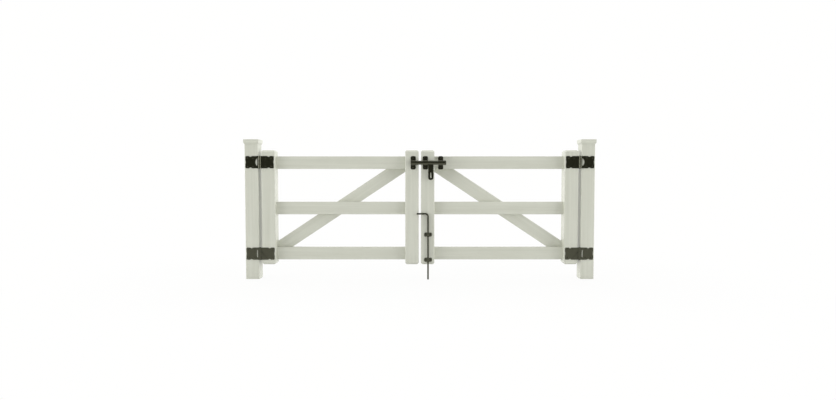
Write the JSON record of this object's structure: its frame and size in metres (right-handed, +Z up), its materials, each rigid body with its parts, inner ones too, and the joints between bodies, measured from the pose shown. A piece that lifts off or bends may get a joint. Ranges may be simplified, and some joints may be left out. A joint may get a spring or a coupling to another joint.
{
  "type": "vinyl ranch gate",
  "caption": "Double-leaf vinyl ranch gate between square capped posts, with braced rails, black butterfly hinges, a slide bolt and a drop rod.",
  "frame": {"origin": "middle of the left post's foot, at ground level", "axes": "+Z up, +X along the gate from the left post to the right one, -Y towards the front, where the hinges and the bolt are"},
  "size_m": [3.319, 0.1885, 1.327],
  "materials": {
    "vinyl": "embossed wood grain, satin",
    "black_steel": "gloss",
    "concrete": "matte"
  },
  "bodies": {
    "posts": {"left_post": "vinyl", "left_post_core": "concrete", "left_post_cap": "vinyl", "left_upper_post_plate": "black_steel", "left_lower_post_plate": "black_steel", "left_upper_hinge_pin": "black_steel", "left_lower_hinge_pin": "black_steel", "right_post": "vinyl", "right_post_core": "concrete", "right_post_cap": "vinyl", "right_upper_post_plate": "black_steel", "right_lower_post_plate": "black_steel", "right_upper_hinge_pin": "black_steel", "right_lower_hinge_pin": "black_steel"},
    "left_leaf": {"left_hinge_stile": "vinyl", "left_meeting_stile": "vinyl", "left_hinge_stile_caps": "vinyl", "left_meeting_stile_caps": "vinyl", "left_top_rail": "vinyl", "left_middle_rail": "vinyl", "left_bottom_rail": "vinyl", "left_brace": "vinyl", "left_upper_leaf_plate": "black_steel", "left_lower_leaf_plate": "black_steel", "latch_keeper": "black_steel"},
    "right_leaf": {"right_hinge_stile": "vinyl", "right_meeting_stile": "vinyl", "right_hinge_stile_caps": "vinyl", "right_meeting_stile_caps": "vinyl", "right_top_rail": "vinyl", "right_middle_rail": "vinyl", "right_bottom_rail": "vinyl", "right_brace": "vinyl", "right_upper_leaf_plate": "black_steel", "right_lower_leaf_plate": "black_steel", "inner_bolt_guide": "black_steel", "outer_bolt_guide": "black_steel", "outer_guide_spacers": "black_steel", "upper_rod_guide": "black_steel", "lower_rod_guide": "black_steel"},
    "bolt": {"slide_bolt": "black_steel"},
    "handle": {"bolt_handle": "black_steel"},
    "rod": {"drop_rod": "black_steel"},
    "rod_top": {"drop_rod_handle": "black_steel"}
  },
  "joints": [
    {"name": "left_leaf_swing", "type": "hinge", "parent": "posts", "child": "left_leaf", "pos_m": [0.0785, -0.066, 0], "axis": [0, 0, -1], "range_deg": [0, 105]},
    {"name": "right_leaf_swing", "type": "hinge", "parent": "posts", "child": "right_leaf", "pos_m": [3.0965, -0.066, 0], "axis": [0, 0, 1], "range_deg": [0, 105]},
    {"name": "bolt_slide", "type": "slide", "parent": "right_leaf", "child": "bolt", "axis": [1, 0, 0], "range_m": [0, 0.042]},
    {"name": "handle_turn", "type": "hinge", "parent": "bolt", "child": "handle", "pos_m": [1.6905, -0.0925, 1.102], "axis": [-1, 0, 0], "range_deg": [0, 180]},
    {"name": "rod_lift", "type": "slide", "parent": "right_leaf", "child": "rod", "axis": [0, 0, 1], "range_m": [0, 0.15]},
    {"name": "rod_turn", "type": "hinge", "parent": "rod", "child": "rod_top", "pos_m": [1.665, -0.0775, 0.6215], "axis": [0, 0, 1], "range_deg": [0, 180]}
  ]
}
